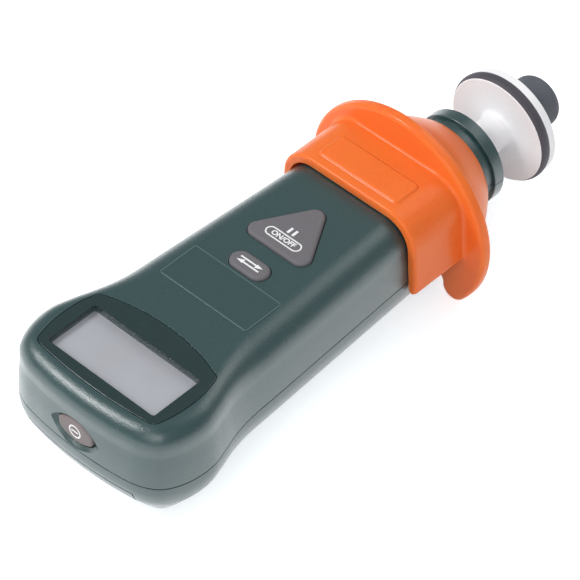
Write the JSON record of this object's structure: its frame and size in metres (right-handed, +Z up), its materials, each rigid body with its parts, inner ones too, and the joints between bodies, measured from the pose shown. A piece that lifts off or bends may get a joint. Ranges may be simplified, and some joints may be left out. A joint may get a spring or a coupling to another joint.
{
  "type": "contact tachometer",
  "caption": "Hand-held contact tachometer: a two-shell case with display and keys, a flanged slide-on guard, and a spindle with measuring wheel and rubber tip.",
  "frame": {"origin": "under the middle of the instrument's box, on the surface that its back lies on", "axes": "+X across the display, +Y along the spindle towards the rubber tip, +Z up out of the display"},
  "size_m": [0.0578, 0.1676, 0.0489],
  "materials": {
    "case_green": "fine matte texture",
    "lens_dark": "gloss",
    "display_grey": "satin",
    "frame_ivory": "matte",
    "key_grey": "matte",
    "end_grey": "matte",
    "guard_orange": "satin",
    "label_green": "matte",
    "wheel_white": "satin",
    "tyre_dark": "matte",
    "tip_black": "matte",
    "shaft_steel": "turned",
    "bearing_steel": "ground",
    "board_green": "satin",
    "chip_black": "matte",
    "cell_jacket": "printed sleeve",
    "contact_metal": "plated",
    "lead_red": "matte",
    "screw_steel": "plain"
  },
  "bodies": {
    "case": {"front_shell": "case_green", "rear_shell": "case_green", "display_lens": "lens_dark", "display_panel": "display_grey", "display_frame": "frame_ivory", "contact_strip": "chip_black", "label_plate": "label_green", "circuit_board": "board_green", "processor_chip": "chip_black", "hold_switch": "chip_black", "unit_switch": "chip_black", "end_switch": "chip_black", "contact_guard": "guard_orange", "front_bearing": "bearing_steel", "rear_bearing": "bearing_steel", "bearing_spacer": "frame_ivory", "optical_sensor": "chip_black", "left_cell": "cell_jacket", "right_cell": "cell_jacket", "cell_link": "contact_metal", "cell_contacts": "contact_metal", "battery_leads": "lead_red", "case_screws": "screw_steel", "board_screws": "screw_steel"},
    "spindle": {"drive_shaft": "shaft_steel", "shaft_clip": "screw_steel", "encoder_disc": "chip_black", "contact_wheel": "wheel_white", "wheel_tyre": "tyre_dark", "rubber_tip": "tip_black"},
    "hold_key": {"hold_key": "key_grey"},
    "unit_key": {"unit_key": "key_grey"},
    "end_button": {"end_button": "end_grey"},
    "battery_door": {"battery_door": "case_green"}
  },
  "joints": [
    {"name": "spindle_spin", "type": "hinge", "parent": "case", "child": "spindle", "pos_m": [0, 0, 0.02], "axis": [0, 1, 0], "continuous": true},
    {"name": "hold_key_press", "type": "slide", "parent": "case", "child": "hold_key", "axis": [0, 0, -1], "range_m": [0, 0.0006], "stiffness_N_per_m": 500, "springref_m": -0.001},
    {"name": "unit_key_press", "type": "slide", "parent": "case", "child": "unit_key", "axis": [0, 0, -1], "range_m": [0, 0.0006], "stiffness_N_per_m": 500, "springref_m": -0.001},
    {"name": "end_button_press", "type": "slide", "parent": "case", "child": "end_button", "axis": [0, 1, 0], "range_m": [0, 0.0006], "stiffness_N_per_m": 500, "springref_m": -0.001},
    {"name": "battery_door_slide", "type": "slide", "parent": "case", "child": "battery_door", "axis": [0, -1, 0], "range_m": [0, 0.03]}
  ]
}
